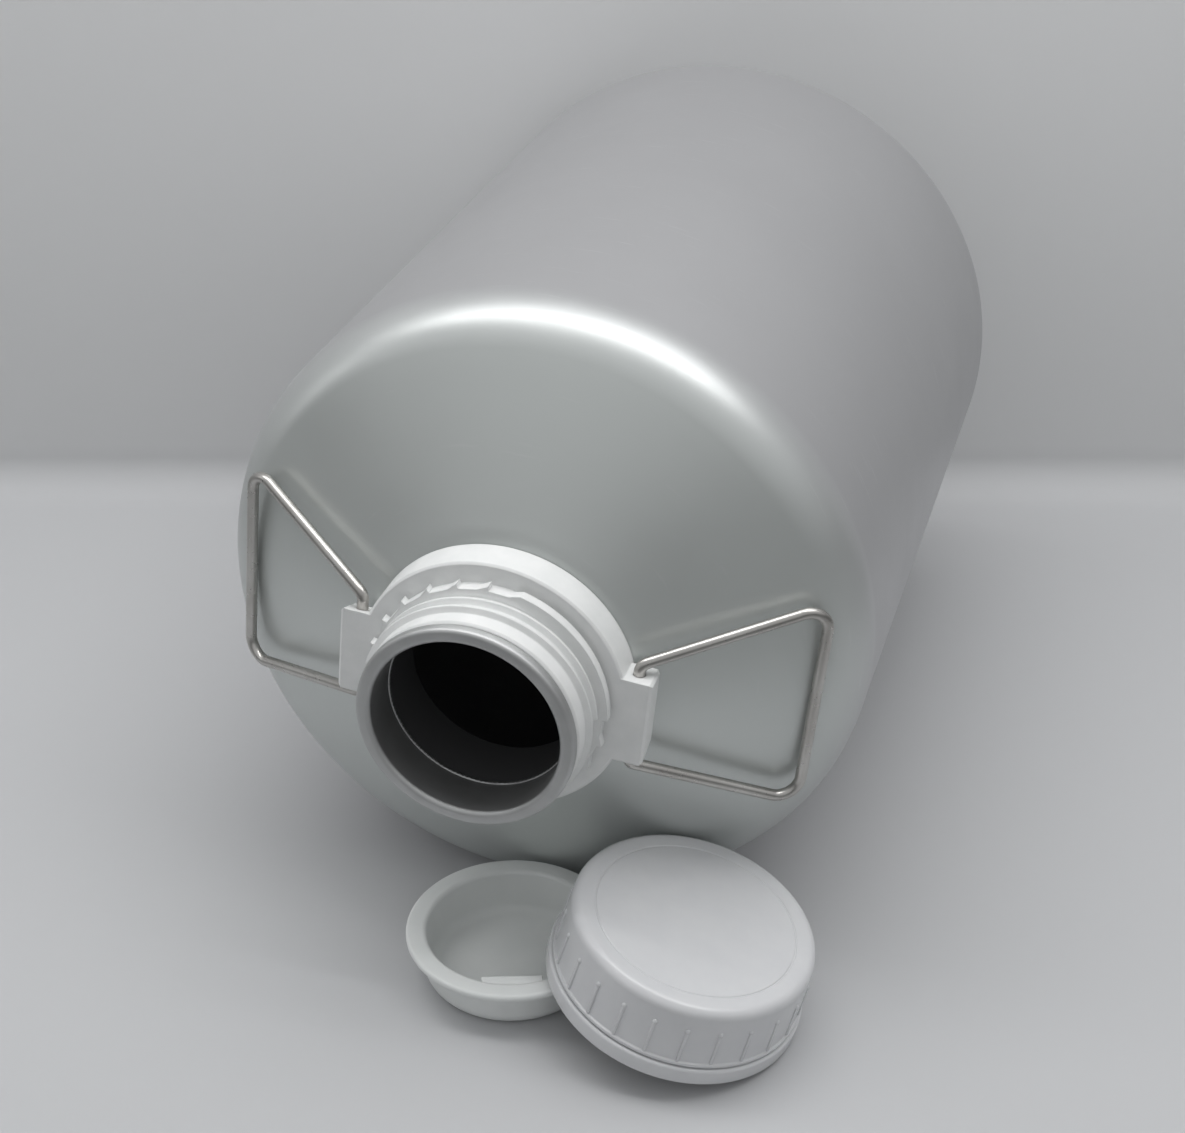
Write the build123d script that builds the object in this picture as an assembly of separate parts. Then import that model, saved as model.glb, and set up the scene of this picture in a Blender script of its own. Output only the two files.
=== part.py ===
from build123d import *
from math import acos, atan2, cos, degrees, hypot, radians, sin, sqrt
import os

# Storage bottle lying on its side with the closure taken off, in millimetres.
# The bottle points its mouth towards -Y and its base towards +Y, and the floor is Z = 0.
# Pieces on the bottle's axis are drawn standing (base at Z = 0, mouth at Z = body_length)
# and then laid down. "depth" is always measured from the mouth plane towards the base.

# ---- driving sizes: body ----
body_diameter = 290.0
body_length = 433.0
body_wall = 1.8
base_edge_radius = 14.0
foot_ring_width = 12.0
base_recess = 7.0
shoulder_length = 107.0        # mouth plane to the start of the straight wall
shoulder_corner_radius = 28.0
shoulder_bulge = 2.2           # degrees, the dome's edge is steeper than its chord by this much
dome_end_gap = 0.5             # dome's inner end behind the collar's skirt

# ---- driving sizes: mouth and neck ----
mouth_bore = 80.0
lip_bead = 6.4                 # thickness of the rolled lip
neck_wall = 1.8
weld_depth = 21.8
weld_width = 2.0
weld_height = 1.1              # how far the bead stands into the bore

# ---- driving sizes: collar ----
collar_fit = 0.15              # radial gap between the neck and the collar bore
thread_pitch = 6.4
thread_turns = 1.45
thread_height = 2.4
thread_root_width = 3.2
thread_crest_width = 1.2
thread_start_depth = 23.5      # centre of the thread's lower end
collar_sleeve = 4.4            # wall between the collar bore and the thread root
collar_edge = 1.0              # chamfer on the collar's outer edges
collar_recess = 3.0            # wall behind the ledge, beyond the thread root
ledge_height = 5.7             # how far the ledge stands out from the thread root
ledge_front_depth = 26.5
ledge_back_depth = 31.0
tooth_height = 2.2
tooth_count = 7
tooth_pitch = 15.0             # degrees
tooth_arc_start = 72.0         # degrees, first toothed stretch; the second is opposite
skirt_front_depth = 33.0
skirt_back_depth = 48.5
skirt_wall = 3.0
skirt_overhang = 6.2           # skirt radius beyond the ledge radius

# ---- driving sizes: ears and handles ----
ear_turn = -5.7                # degrees, both ears are set round the neck by this much
ear_height = 40.0
ear_reach = 8.8                # ear face beyond the skirt
ear_depth = 13.3
ear_edge = 1.2
ear_wedge = 5.5                # taken off one end face at the back of the ear
ear_overlap = 5.0              # how far the ear runs into the collar
ear_hole_inset = 7.2           # hole centre in from the ear's outer face
wire_diameter = 5.0
pin_clearance = 0.1            # radial, handle end in its ear hole
pin_length = 14.0
handle_leg_start = 4.5         # corner of the wire beyond the ear's end face
handle_set_back = 8.15         # handle's bar inside the body's radius when it points straight out
handle_width = 100.0
handle_bend = 4.2
handle_rest_gap = 0.8          # wire to shoulder at rest

# ---- driving sizes: inner plug ----
plug_flange_thickness = 3.4
plug_body_length = 20.4
plug_clearance = 0.3           # radial, plug body in the mouth
plug_taper = 0.8               # radius lost from flange to bottom
plug_wall = 2.4
plug_edge_radius = 5.0
plug_flange_edge = 0.8         # chamfer on the flange's upper edges
plug_seat_height = 3.0         # straight length of the plug's body under the flange
tab_width = 26.0
tab_reach = 5.0
tab_thickness = 2.0
tab_drop = 0.5                 # tab's top below the flange's top
tab_angle = -75.0              # degrees round the plug

# ---- driving sizes: cap ----
cap_top_thickness = 2.0
liner_thickness = 1.0
liner_inset = 3.0              # liner radius inside the cap bore
liner_gap = 0.3                # radial, liner in the cap
liner_play = 0.05              # liner under the cap's ceiling
liner_bead = 0.8               # bead that keeps the liner in
band_seat_gap = 0.8            # tamper band above the skirt when the cap is screwed down
band_height = 8.0
band_overhang = 3.9            # band radius beyond the ledge radius
band_wall = 3.1
band_edge = 0.8                # chamfer on the band's outer edges
slit_height = 0.8
bridge_count = 16
bridge_width = 1.6
bridge_thickness = 1.0
cap_bore_gap = 2.0             # radial, cap bore outside the thread crest
cap_skirt_wall = 3.0
cap_lip_height = 1.8
cap_lip_width = 1.0
cap_lip_slope = 0.4            # fall of the lip's upper face
cap_draft = 0.8                # radius lost from the lip to the top edge
cap_edge_radius = 6.0
cap_groove_inset = 9.45        # groove in the top, in from the cap's upper radius
cap_groove_size = 0.6
cap_thread_engagement = 1.4
cap_rib_count = 24
cap_rib_height = 0.5
cap_rib_width = 1.2
cap_rib_drop = 5.0             # rib's upper end below the rounded edge
snap_bead_height = 2.6
snap_bead_gap = 0.3            # behind the ledge when the cap is screwed down
snap_bead_edge = 0.4

# ---- driving sizes: how the closure lies on the floor ----
plug_offset_x = 8.0
plug_from_mouth = 30.0         # plug axis behind the mouth plane
cap_beyond_plug = 27.6         # cap axis beyond the plug flange's edge
cap_from_mouth = 25.0          # centre of the cap's open end behind the mouth plane
rest_gap = 0.3                 # cap to floor and cap to plug flange

# ---- worked out from the driving sizes ----
body_radius = body_diameter / 2
bore_radius = mouth_bore / 2
neck_radius = bore_radius + neck_wall
lip_radius = bore_radius + lip_bead
collar_bore = neck_radius + collar_fit
thread_root = collar_bore + collar_sleeve
thread_crest = thread_root + thread_height
ledge_radius = thread_root + ledge_height
groove_radius = thread_root + collar_recess
skirt_radius = ledge_radius + skirt_overhang
ear_face = skirt_radius + ear_reach
hinge_radius = ear_face - ear_hole_inset
hinge_depth = skirt_front_depth + ear_depth / 2
handle_reach = body_radius - hinge_radius - handle_set_back
wire_radius = wire_diameter / 2
plug_height = plug_flange_thickness + plug_body_length
plug_radius = bore_radius - plug_clearance
band_radius = ledge_radius + band_overhang
band_bore = band_radius - band_wall
cap_bore = thread_crest + cap_bore_gap
cap_foot_radius = cap_bore + cap_skirt_wall
cap_top_radius = cap_foot_radius - cap_draft
cap_groove_radius = cap_top_radius - cap_groove_inset
band_seat_depth = skirt_front_depth - band_seat_gap
cap_ceiling = band_seat_depth + plug_flange_thickness + liner_thickness + liner_play
cap_height = cap_ceiling + cap_top_thickness
cap_skirt_foot = band_height + slit_height
liner_radius = cap_bore - liner_inset
cap_offset_x = plug_offset_x + lip_radius + cap_beyond_plug


def ring(*points):
    """Solid of revolution about Z from an outline given as (radius, height)."""
    outline = Polyline(*[(radius, 0, height) for radius, height in points], close=True)
    return revolve(make_face(outline), Axis.Z)


def polar(radius, angle):
    return (radius * cos(radians(angle)), radius * sin(radians(angle)))


def arc_about(centre, radius, start, end):
    """Arc in the XZ plane about a centre, between two angles in degrees."""
    points = [polar(radius, angle) for angle in (start, (start + end) / 2, end)]
    return ThreePointArc(*[(centre[0] + x, 0, centre[1] + z) for x, z in points])


def line_xz(start, end):
    return Line((start[0], 0, start[1]), (end[0], 0, end[1]))


# ---- the drawn body: base, wall, domed shoulder and the stub that carries the neck ----
shoulder_start = body_length - shoulder_length
corner_centre = (body_radius - shoulder_corner_radius, shoulder_start)
dome_end = (skirt_radius, body_length - skirt_back_depth - dome_end_gap)


def dome_angle():
    """Angle on the corner arc where it runs smoothly into the dome."""
    angle = 60.0
    for _ in range(40):
        x, z = polar(shoulder_corner_radius, angle)
        run = corner_centre[0] + x - dome_end[0]
        rise = dome_end[1] - corner_centre[1] - z
        angle = 90 - degrees(atan2(rise, run)) - shoulder_bulge
    return angle


dome_start_angle = dome_angle()


def shoulder_curves(inset):
    """Corner arc and dome arc, both moved inwards by the inset, and the dome's inner end."""
    corner = arc_about(corner_centre, shoulder_corner_radius - inset, 0, dome_start_angle)
    normal = (-cos(radians(dome_start_angle)), -sin(radians(dome_start_angle)))
    start = (corner_centre[0] - normal[0] * shoulder_corner_radius,
             corner_centre[1] - normal[1] * shoulder_corner_radius)
    chord = (dome_end[0] - start[0], dome_end[1] - start[1])
    dome_radius = (chord[0] ** 2 + chord[1] ** 2) / (2 * (chord[0] * normal[0] + chord[1] * normal[1]))
    centre = (start[0] + normal[0] * dome_radius, start[1] + normal[1] * dome_radius)
    end_angle = degrees(atan2(dome_end[1] - centre[1], dome_end[0] - centre[0]))
    dome = arc_about(centre, dome_radius - inset, dome_start_angle, end_angle)
    end = polar(dome_radius - inset, end_angle)
    return corner, dome, (centre[0] + end[0], centre[1] + end[1])


def body_solid(inset):
    """Solid of the body; an inset of one wall gives the space inside it."""
    foot = body_radius - base_edge_radius
    recess_edge = foot - foot_ring_width
    stub_radius = neck_radius - inset
    stub_top = body_length - weld_depth - weld_width / 2
    if inset:
        stub_top = body_length
    corner, dome, dome_inner = shoulder_curves(inset)
    edges = [
        ThreePointArc((-recess_edge, 0, inset), (0, 0, base_recess + inset), (recess_edge, 0, inset)),
        line_xz((recess_edge, inset), (foot, inset)),
        arc_about((foot, base_edge_radius), base_edge_radius - inset, -90, 0),
        line_xz((body_radius - inset, base_edge_radius), (body_radius - inset, shoulder_start)),
        corner,
        dome,
        line_xz(dome_inner, (stub_radius, dome_inner[1] + 2.0)),
        line_xz((stub_radius, dome_inner[1] + 2.0), (stub_radius, stub_top)),
        line_xz((stub_radius, stub_top), (0, stub_top)),
        line_xz((0, stub_top), (0, base_recess + inset)),
    ]
    edges[0] = edges[0].trim(0.5, 1.0)
    return revolve(make_face(Wire(edges)), Axis.Z)


def make_body_shell():
    return body_solid(0) - body_solid(body_wall)


def make_neck_tube():
    bead_radius = lip_bead / 2
    bead_centre = (bore_radius + bead_radius, body_length - bead_radius)
    tube = ring(
        (bore_radius, body_length - weld_depth + weld_width / 2),
        (neck_radius, body_length - weld_depth + weld_width / 2),
        (neck_radius, bead_centre[1]),
        (bore_radius, bead_centre[1]),
    )
    bead = Pos(0, 0, bead_centre[1]) * Torus(bead_centre[0], bead_radius)
    hollow = Pos(0, 0, bead_centre[1]) * Torus(bead_centre[0], bead_radius - neck_wall)
    return tube + bead - hollow


def make_neck_weld():
    middle = body_length - weld_depth
    half = weld_width / 2
    return ring(
        (bore_radius, middle - half),
        (neck_radius, middle - half),
        (neck_radius, middle + half),
        (bore_radius, middle + half),
        (bore_radius - weld_height, middle + half / 3),
        (bore_radius - weld_height, middle - half / 3),
    )


# ---- the moulded collar ----
def thread(root_radius, height, start_depth, inward=False):
    """Right-hand thread ridge, joined to a wall at the root radius."""
    rise = thread_pitch * thread_turns
    base = body_length - start_depth
    bury = 0.6
    sign = -1 if inward else 1
    path = Pos(0, 0, base) * Helix(pitch=thread_pitch, height=rise, radius=root_radius)
    profile = Polyline(
        (root_radius - sign * bury, 0, base - thread_root_width / 2),
        (root_radius, 0, base - thread_root_width / 2),
        (root_radius + sign * height, 0, base - thread_crest_width / 2),
        (root_radius + sign * height, 0, base + thread_crest_width / 2),
        (root_radius, 0, base + thread_root_width / 2),
        (root_radius - sign * bury, 0, base + thread_root_width / 2),
        close=True,
    )
    return sweep(make_face(profile), path=path, is_frenet=True)


def ledge_outline():
    """Ledge seen from the mouth: two plain arcs and two stretches of ratchet teeth."""
    low = ledge_radius - tooth_height
    toothed_arc = tooth_count * tooth_pitch
    edges = []
    for half_turn in (0, 180):
        first = tooth_arc_start + half_turn
        last = first + toothed_arc
        corners = [polar(ledge_radius, first)]
        for index in range(tooth_count):
            tooth = first + index * tooth_pitch
            if index:
                corners.append(polar(ledge_radius, tooth))
            corners.append(polar(low, tooth + 0.35 * tooth_pitch))
            corners.append(polar(low, tooth + tooth_pitch))
        corners.append(polar(ledge_radius, last))
        edges.extend(Polyline(*corners).edges())
        plain = (last, (last + first + 180) / 2, first + 180)
        edges.append(ThreePointArc(*[polar(ledge_radius, angle) for angle in plain]))
    return make_face(Wire(edges))


def on_side(side, shape):
    """Turn a shape drawn on +X to the right ear (side 1) or the left ear (side -1)."""
    half_turn = 0 if side > 0 else 180
    return Rot(0, 0, ear_turn + half_turn) * shape


def make_ear(side):
    """Block on one side of the neck that carries a handle; one end face slopes back."""
    inner = skirt_radius - ear_overlap
    half_height = ear_height / 2
    half_depth = ear_depth / 2
    outline = Polyline(
        (inner, -half_height, half_depth),
        (inner, half_height, half_depth),
        (inner, half_height, -half_depth),
        (inner, ear_wedge - half_height, -half_depth),
        close=True,
    )
    block = extrude(make_face(outline), ear_face - inner, dir=(1, 0, 0))
    block = chamfer(block.faces().sort_by(Axis.X)[-1].edges(), ear_edge)
    return on_side(side, Pos(0, 0, body_length - hinge_depth) * block)


def make_ear_hole(side):
    hole = Rot(90, 0, 0) * Cylinder(wire_radius + pin_clearance, ear_height + 2)
    return on_side(side, Pos(hinge_radius, 0, body_length - hinge_depth) * hole)


def make_neck_collar():
    top = body_length - lip_bead - collar_fit
    edge = collar_edge
    collar = ring(
        (collar_bore, body_length - skirt_back_depth + skirt_wall),
        (collar_bore, top),
        (thread_root - edge, top),
        (thread_root, top - edge),
        (thread_root, body_length - ledge_front_depth),
        (groove_radius, body_length - ledge_front_depth - edge),
        (groove_radius, body_length - skirt_front_depth),
        (skirt_radius - edge, body_length - skirt_front_depth),
        (skirt_radius, body_length - skirt_front_depth - edge),
        (skirt_radius, body_length - skirt_back_depth),
        (skirt_radius - skirt_wall, body_length - skirt_back_depth),
        (skirt_radius - skirt_wall, body_length - skirt_front_depth - skirt_wall),
        (collar_bore + skirt_wall, body_length - skirt_front_depth - skirt_wall),
        (collar_bore + skirt_wall, body_length - skirt_back_depth + skirt_wall),
    )
    ledge = Pos(0, 0, body_length - ledge_back_depth) * extrude(
        ledge_outline(), ledge_back_depth - ledge_front_depth
    )
    ledge -= Cylinder(thread_root - 1, 3 * body_length)
    collar += ledge
    for side in (1, -1):
        collar += make_ear(side)
        collar -= make_ear_hole(side)
    collar += thread(thread_root, thread_height, thread_start_depth)
    return collar


# ---- handles ----
def handle_fold():
    """Angle back from straight out, with the bar just clear of the shoulder corner."""
    across = corner_centre[0] - hinge_radius
    back = shoulder_length - hinge_depth
    distance = hypot(across, back)
    keep_off = shoulder_corner_radius + wire_radius + handle_rest_gap
    cosine = (handle_reach ** 2 + distance ** 2 - keep_off ** 2) / (2 * handle_reach * distance)
    return degrees(atan2(back, across)) - degrees(acos(cosine))


def make_handle(side):
    """Wire loop with its two ends turned into the ear hole."""
    end = ear_height / 2 - pin_length
    leg = ear_height / 2 + handle_leg_start
    half = handle_width / 2
    corners = [
        (0, end), (0, leg), (handle_reach, half), (handle_reach, -half), (0, -leg), (0, -end),
    ]
    path = FilletPolyline(*[(x, y, 0) for x, y in corners], radius=handle_bend)
    profile = Plane(path @ 0, z_dir=path % 0) * Circle(wire_radius)
    loop = sweep(profile, path=path)
    loop = Rot(0, handle_fold(), 0) * loop
    return on_side(side, Pos(hinge_radius, 0, body_length - hinge_depth) * loop)


# ---- inner plug, drawn with its bottom at Z = 0 ----
def make_inner_plug():
    body_top = plug_body_length
    foot = plug_radius - plug_taper
    inner_top = plug_radius - plug_wall
    inner_foot = foot - plug_wall
    edge = plug_flange_edge
    plug = ring(
        (0, 0),
        (foot - plug_edge_radius, 0),
        (foot - 0.3 * plug_edge_radius, 0.3 * plug_edge_radius),
        (foot, plug_edge_radius),
        (plug_radius, body_top - plug_seat_height),
        (plug_radius, body_top),
        (lip_radius, body_top),
        (lip_radius, plug_height - edge),
        (lip_radius - edge, plug_height),
        (inner_top + edge, plug_height),
        (inner_top, plug_height - edge),
        (inner_foot, plug_edge_radius),
        (inner_foot - 0.7 * plug_edge_radius, plug_wall),
        (0, plug_wall),
    )
    root = plug_wall / 2
    tab = Pos(inner_top - (tab_reach - root) / 2, 0, plug_height - tab_drop - tab_thickness / 2)
    tab = tab * Box(tab_reach + root, tab_width, tab_thickness)
    tab &= Cylinder(inner_top + root, 3 * plug_height)
    return plug + Rot(0, 0, tab_angle) * tab


# ---- cap, drawn with its open end down at Z = 0 ----
def make_screw_cap():
    foot = cap_skirt_foot
    edge = cap_edge_radius
    lip_edge = cap_foot_radius + cap_lip_width
    liner_bore = liner_radius + liner_gap
    bead_bore = liner_radius - liner_bead
    bead_top = cap_ceiling - liner_play - liner_thickness - liner_play
    outline = [
        Line((0, 0, cap_height), (cap_top_radius - edge, 0, cap_height)),
        arc_about((cap_top_radius - edge, cap_height - edge), edge, 90, 0),
        Line((cap_top_radius, 0, cap_height - edge), (cap_foot_radius, 0, foot + cap_lip_height)),
        Polyline(
            (cap_foot_radius, 0, foot + cap_lip_height),
            (lip_edge, 0, foot + cap_lip_height - cap_lip_slope),
            (lip_edge, 0, foot),
            (cap_bore, 0, foot),
            (cap_bore, 0, bead_top - 5 * liner_bead),
            (liner_bore, 0, bead_top - 5 * liner_bead / 2),
            (bead_bore, 0, bead_top - liner_bead),
            (bead_bore, 0, bead_top),
            (liner_bore, 0, bead_top),
            (liner_bore, 0, cap_ceiling),
            (0, 0, cap_ceiling),
            (0, 0, cap_height),
        ),
    ]
    edges = outline[:3] + list(outline[3].edges())
    cap = revolve(make_face(Wire(edges)), Axis.Z)
    groove = Pos(0, 0, cap_height) * Torus(cap_groove_radius, cap_groove_size)
    cap -= groove
    seat_shift = body_length - band_seat_depth
    ridge_depth = thread_start_depth - thread_pitch / 2
    ridge_height = cap_bore - thread_crest + cap_thread_engagement
    ridge = thread(cap_bore, ridge_height, ridge_depth, inward=True)
    cap += Pos(0, 0, -seat_shift) * ridge
    rib_top = cap_height - cap_edge_radius - cap_rib_drop
    rib_foot = foot + cap_lip_height
    rib = Box(cap_rib_height * 2, cap_rib_width, rib_top - rib_foot)
    lean = degrees(atan2(cap_draft, cap_height - edge - foot - cap_lip_height))
    rib_radius = (cap_foot_radius + cap_top_radius) / 2
    rib = Pos(rib_radius, 0, (rib_top + rib_foot) / 2) * Rot(0, -lean, 0) * rib
    for index in range(cap_rib_count):
        cap += Rot(0, 0, index * 360 / cap_rib_count) * rib
    return cap


def make_cap_liner():
    middle = cap_ceiling - liner_play - liner_thickness / 2
    return Pos(0, 0, middle) * Cylinder(liner_radius, liner_thickness)


def make_tamper_band():
    bead_z = band_seat_depth - ledge_back_depth - snap_bead_gap
    return ring(
        (band_bore, 0),
        (band_radius - band_edge, 0),
        (band_radius, band_edge),
        (band_radius, band_height - band_edge),
        (band_radius - band_edge, band_height),
        (band_bore, band_height),
        (band_bore, bead_z),
        (band_bore - snap_bead_height, bead_z),
        (band_bore - snap_bead_height, bead_z - snap_bead_edge),
    )


def make_tamper_bridges():
    radius = cap_foot_radius - bridge_thickness / 2
    bridge = Box(bridge_thickness, bridge_width, slit_height)
    bridge = Pos(radius, 0, band_height + slit_height / 2) * bridge
    turns = [(index + 0.5) * 360 / bridge_count for index in range(bridge_count)]
    return Compound([Rot(0, 0, turn) * bridge for turn in turns])


# ---- places of the three groups ----
def lean_angle():
    """Lean of the cap whose edge rests on the plug's flange on one side and the floor on the other."""
    reach = band_bore - snap_bead_height
    apart_x = cap_offset_x - plug_offset_x
    apart_y = cap_from_mouth - plug_from_mouth
    apart = hypot(apart_x, apart_y)
    along = (apart ** 2 + reach ** 2 - lip_radius ** 2) / (2 * apart)
    across = sqrt(reach ** 2 - along ** 2)
    contact_x = cap_offset_x - (along * apart_x - across * abs(apart_y)) / apart
    lean = 0.2
    for _ in range(20):
        span = cap_offset_x - contact_x + band_radius * cos(lean)
        lean = atan2(plug_height + rest_gap, span)
    return degrees(lean)


mouth_y = -(body_length + cap_from_mouth - band_radius) / 2
base_y = mouth_y + body_length
cap_lean = lean_angle()


def lie_down(shape):
    return Pos(0, base_y, body_radius) * Rot(90, 0, 0) * shape


def place_plug(shape):
    return Pos(plug_offset_x, mouth_y + plug_from_mouth, 0) * shape


def place_cap(shape):
    rim_lift = band_radius * sin(radians(cap_lean)) + rest_gap
    return Pos(cap_offset_x, mouth_y + cap_from_mouth, rim_lift) * Rot(0, cap_lean, 0) * shape


parts = {
    "body_shell": lie_down(make_body_shell()),
    "neck_tube": lie_down(make_neck_tube()),
    "neck_weld": lie_down(make_neck_weld()),
    "neck_collar": lie_down(make_neck_collar()),
    "left_handle": lie_down(make_handle(-1)),
    "right_handle": lie_down(make_handle(1)),
    "inner_plug": place_plug(make_inner_plug()),
    "screw_cap": place_cap(make_screw_cap()),
    "cap_liner": place_cap(make_cap_liner()),
    "tamper_band": place_cap(make_tamper_band()),
    "tamper_bridges": place_cap(make_tamper_bridges()),
}

os.makedirs("parts", exist_ok=True)
for name, shape in parts.items():
    export_step(shape, f"parts/{name}.step")
    box = shape.bounding_box()
    print(name, round(shape.volume, 1), len(shape.solids()), box.min, box.max)
print("cap lean", cap_lean, "handle fold", handle_fold())
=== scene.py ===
import math

import bpy
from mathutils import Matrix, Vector


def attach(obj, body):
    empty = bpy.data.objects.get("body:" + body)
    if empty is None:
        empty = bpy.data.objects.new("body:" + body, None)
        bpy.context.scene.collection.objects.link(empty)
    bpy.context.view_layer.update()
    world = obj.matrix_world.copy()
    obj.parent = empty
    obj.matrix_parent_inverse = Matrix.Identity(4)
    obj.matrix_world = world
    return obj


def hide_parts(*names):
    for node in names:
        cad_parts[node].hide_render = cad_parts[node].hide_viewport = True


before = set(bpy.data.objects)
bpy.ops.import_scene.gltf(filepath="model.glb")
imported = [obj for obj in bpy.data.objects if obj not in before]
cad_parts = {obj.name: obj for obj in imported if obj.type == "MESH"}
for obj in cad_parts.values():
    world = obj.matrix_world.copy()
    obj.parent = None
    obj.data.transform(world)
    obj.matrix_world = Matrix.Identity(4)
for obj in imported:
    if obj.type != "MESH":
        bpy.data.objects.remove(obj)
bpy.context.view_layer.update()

# ---- camera, floor and lights ----
# The camera stands in front and to the right, looking down over the mouth of the bottle.
# The floor is a sheet of pale paper that turns up into a wall just behind the base.
MM = 0.001
VIEW_TURN = math.radians(17.18)
LOOK_DOWN = math.radians(30.34)
WALL_DISTANCE = 1.17           # from under the camera to the foot of the paper wall
WALL_HEIGHT = 1.6
SHEET_BEND = 0.022
SHEET_HALF_WIDTH = 2.6
SHEET_BEHIND_CAMERA = 0.55

camera_data = bpy.data.cameras.new("camera")
camera_data.sensor_fit = "HORIZONTAL"
camera_data.sensor_width = 36.0
camera_data.lens = 64.6
camera_data.clip_start = 0.02
camera = bpy.data.objects.new("camera", camera_data)
bpy.context.scene.collection.objects.link(camera)
camera.location = (0.2549, -0.8507, 0.6280)
camera.rotation_euler = (math.pi / 2 - LOOK_DOWN, 0, VIEW_TURN)
bpy.context.scene.camera = camera
bpy.context.scene.view_settings.view_transform = "Standard"


def paper_point(along, across, up):
    """A point of the paper sheet, counted from under the camera along the line of sight."""
    x = camera.location.x - math.sin(VIEW_TURN) * along + math.cos(VIEW_TURN) * across
    y = camera.location.y + math.cos(VIEW_TURN) * along + math.sin(VIEW_TURN) * across
    return (x, y, up)


bend_points = [
    (WALL_DISTANCE - SHEET_BEND + SHEET_BEND * math.sin(t), SHEET_BEND - SHEET_BEND * math.cos(t))
    for t in [math.radians(a) for a in range(0, 91, 10)]
]
sheet_line = [(-SHEET_BEHIND_CAMERA, 0.0)] + bend_points + [(WALL_DISTANCE, WALL_HEIGHT)]
paper_vertices = []
for along, up in sheet_line:
    for across in (-SHEET_HALF_WIDTH, SHEET_HALF_WIDTH):
        paper_vertices.append(paper_point(along, across, up))
paper_faces = [(2 * i, 2 * i + 1, 2 * i + 3, 2 * i + 2) for i in range(len(sheet_line) - 1)]
paper_mesh = bpy.data.meshes.new("paper")
paper_mesh.from_pydata(paper_vertices, [], paper_faces)
paper = bpy.data.objects.new("paper", paper_mesh)
bpy.context.scene.collection.objects.link(paper)
for face in paper_mesh.polygons:
    face.use_smooth = True


class Nodes:
    """A new node material, with short calls to add and join its nodes."""

    def __init__(self, name):
        self.material = bpy.data.materials.new(name)
        self.material.use_nodes = True
        self.tree = self.material.node_tree
        self.shader = self.tree.nodes["Principled BSDF"]

    def add(self, kind, **values):
        node = self.tree.nodes.new(kind)
        for key, value in values.items():
            setattr(node, key, value)
        return node

    def join(self, output, socket):
        self.tree.links.new(output, socket)

    def set(self, **values):
        for key, value in values.items():
            self.shader.inputs[key.replace("_", " ")].default_value = value

    def place(self, scale=(1, 1, 1), centre=(0, 0, 0)):
        """Object coordinates, shifted to a centre and stretched."""
        source = self.add("ShaderNodeTexCoord")
        mapping = self.add("ShaderNodeMapping")
        mapping.inputs["Scale"].default_value = scale
        mapping.inputs["Location"].default_value = [-c * s for c, s in zip(centre, scale)]
        self.join(source.outputs["Object"], mapping.inputs["Vector"])
        return mapping.outputs["Vector"]

    def noise(self, vector, scale, detail=4.0, rough=0.5):
        node = self.add("ShaderNodeTexNoise")
        node.inputs["Scale"].default_value = scale
        node.inputs["Detail"].default_value = detail
        node.inputs["Roughness"].default_value = rough
        self.join(vector, node.inputs["Vector"])
        return node.outputs["Fac"]

    def spread(self, value, low, high, out_low, out_high):
        node = self.add("ShaderNodeMapRange")
        for key, number in zip(("From Min", "From Max", "To Min", "To Max"), (low, high, out_low, out_high)):
            node.inputs[key].default_value = number
        self.join(value, node.inputs["Value"])
        return node.outputs["Result"]

    def mix(self, amount, first, second):
        node = self.add("ShaderNodeMix", data_type="RGBA")
        self.join(amount, node.inputs["Factor"])
        for value, socket in ((first, node.inputs[6]), (second, node.inputs[7])):
            if isinstance(value, tuple):
                socket.default_value = (*value, 1)
            else:
                self.join(value, socket)
        return node.outputs[2]

    def bump(self, height, distance, strength=1.0, below=None):
        node = self.add("ShaderNodeBump")
        node.inputs["Distance"].default_value = distance
        node.inputs["Strength"].default_value = strength
        self.join(height, node.inputs["Height"])
        if below is not None:
            self.join(below, node.inputs["Normal"])
        return node.outputs["Normal"]

    def math(self, operation, first, second=None):
        node = self.add("ShaderNodeMath", operation=operation)
        for value, socket in ((first, node.inputs[0]), (second, node.inputs[1])):
            if isinstance(value, (int, float)):
                socket.default_value = value
            elif value is not None:
                self.join(value, socket)
        return node.outputs[0]


paper_paint = Nodes("paper_grey")
place_parts = paper_paint.add("ShaderNodeSeparateXYZ")
paper_paint.join(paper_paint.place(centre=tuple(camera.location)), place_parts.inputs["Vector"])


def floor_measure(x_share, y_share):
    """Distance over the floor in the direction given by its shares of X and Y."""
    return paper_paint.math(
        "ADD",
        paper_paint.math("MULTIPLY", place_parts.outputs["X"], x_share),
        paper_paint.math("MULTIPLY", place_parts.outputs["Y"], y_share),
    )


# Painted light and shade: the sheet is painted darker in front of the cap and far out to both sides, where
# the pool of lamplight ends, and painted lighter up the wall.
along = floor_measure(-math.sin(VIEW_TURN), math.cos(VIEW_TURN))
across = floor_measure(math.cos(VIEW_TURN), math.sin(VIEW_TURN))
# Painted light: this mask marks the pool of lamplight on the floor; outside it the floor is painted in
# shade.
painted_light_pool = paper_paint.math(
    "MULTIPLY",
    paper_paint.spread(along, 0.48, 0.60, 0.0, 1.0),
    paper_paint.spread(paper_paint.math("ABSOLUTE", across), 0.40, 0.60, 1.0, 0.0),
)
floor_tone = paper_paint.mix(painted_light_pool, (0.28, 0.285, 0.285), (0.505, 0.51, 0.52))
above_floor = paper_paint.math("ADD", place_parts.outputs["Z"], camera.location.z)
# Painted light: the wall is painted lighter higher up.
wall_tone = paper_paint.mix(
    paper_paint.spread(above_floor, 0.03, 0.45, 0.0, 1.0), (0.62, 0.625, 0.63), (0.90, 0.905, 0.91)
)
paper_tone = paper_paint.mix(paper_paint.spread(above_floor, 0.0, 0.03, 0.0, 1.0), floor_tone, wall_tone)
paper_paint.join(paper_tone, paper_paint.shader.inputs["Base Color"])
paper_paint.set(Roughness=0.75)
paper_grain = paper_paint.noise(paper_paint.place(), 700.0, 3.0)
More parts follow.
